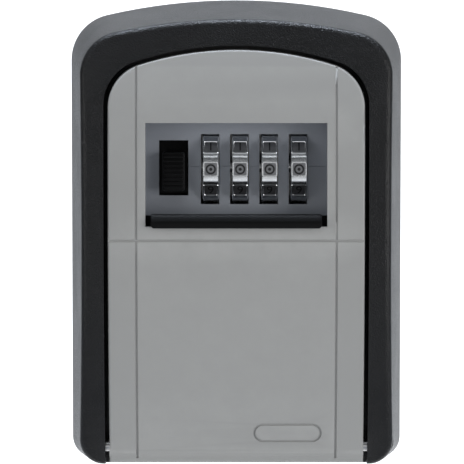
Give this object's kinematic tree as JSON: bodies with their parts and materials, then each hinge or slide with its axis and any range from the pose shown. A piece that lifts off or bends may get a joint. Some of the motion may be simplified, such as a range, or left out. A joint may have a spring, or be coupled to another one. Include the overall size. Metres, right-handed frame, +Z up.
{
  "type": "key lock box",
  "caption": "Wall-mounted key safe: drafted cast housing, crowned drop-down door with number wheels, ribbed release slide and a sliding weather shutter.",
  "frame": {"origin": "centre of the flat back face that lies on the wall", "axes": "+Y out of the back into the wall, +Z up, +X to the right seen from the front"},
  "size_m": [0.0844, 0.0436, 0.118],
  "materials": {
    "dark_casting": "dark charcoal textured powder coat",
    "silver_paint": "satin silver-grey paint",
    "grey_plastic": "blue-grey moulded plastic",
    "black_plastic": "black moulded plastic",
    "rubber": "matt black",
    "zinc_plate": "bright zinc plated",
    "steel": "plain ground steel",
    "wheel_metal": "satin grey with black digit rings",
    "brass": "machined",
    "cast_zinc": "bare die-cast zinc, dull grey"
  },
  "bodies": {
    "housing_body": {"housing": "dark_casting", "wall_pad": "rubber", "door_seal": "rubber", "hinge_pin": "steel", "keeper": "zinc_plate", "keeper_screws": "zinc_plate", "key_hook": "zinc_plate", "hook_screws": "zinc_plate"},
    "door": {"door_panel": "silver_paint", "dial_plate": "grey_plastic", "shutter_guide": "zinc_plate", "guide_screws": "zinc_plate", "lock_case": "cast_zinc", "case_screws": "zinc_plate", "rear_cover": "zinc_plate", "cover_screws": "zinc_plate", "wheel_axle": "steel", "axle_clips": "steel", "detent_springs": "steel", "lever_pivot": "brass", "latch_spring": "steel"},
    "latch": {"latch_plate": "steel", "thumb_slider": "black_plastic", "slider_rivet": "brass"},
    "shutter": {"weather_shutter": "black_plastic"},
    "lever": {"change_lever": "zinc_plate"},
    "wheel_1": {"number_wheel_1": "wheel_metal", "code_disc_1": "brass"},
    "wheel_2": {"number_wheel_2": "wheel_metal", "code_disc_2": "brass"},
    "wheel_3": {"number_wheel_3": "wheel_metal", "code_disc_3": "brass"},
    "wheel_4": {"number_wheel_4": "wheel_metal", "code_disc_4": "brass"}
  },
  "joints": [
    {"name": "door_hinge", "type": "hinge", "parent": "housing_body", "child": "door", "pos_m": [0, -0.0294, -0.0516], "axis": [1, 0, 0], "range_deg": [0, 110]},
    {"name": "release_slide", "type": "slide", "parent": "door", "child": "latch", "axis": [0, 0, 1], "range_m": [0, 0.0028], "stiffness_N_per_m": 300, "deforming": ["latch_spring"]},
    {"name": "shutter_slide", "type": "slide", "parent": "door", "child": "shutter", "axis": [0, 0, 1], "range_m": [0, 0.0224]},
    {"name": "change_lever_pivot", "type": "hinge", "parent": "door", "child": "lever", "pos_m": [0.013, -0.0134, 0.012], "axis": [0, 1, 0], "range_deg": [0, 35]},
    {"name": "wheel_1_turn", "type": "hinge", "parent": "door", "child": "wheel_1", "pos_m": [-0.00635, -0.02695, 0.0186], "axis": [1, 0, 0], "continuous": true},
    {"name": "wheel_2_turn", "type": "hinge", "parent": "door", "child": "wheel_2", "pos_m": [0.00096, -0.02695, 0.0186], "axis": [1, 0, 0], "continuous": true},
    {"name": "wheel_3_turn", "type": "hinge", "parent": "door", "child": "wheel_3", "pos_m": [0.00827, -0.02695, 0.0186], "axis": [1, 0, 0], "continuous": true},
    {"name": "wheel_4_turn", "type": "hinge", "parent": "door", "child": "wheel_4", "pos_m": [0.01558, -0.02695, 0.0186], "axis": [1, 0, 0], "continuous": true}
  ]
}
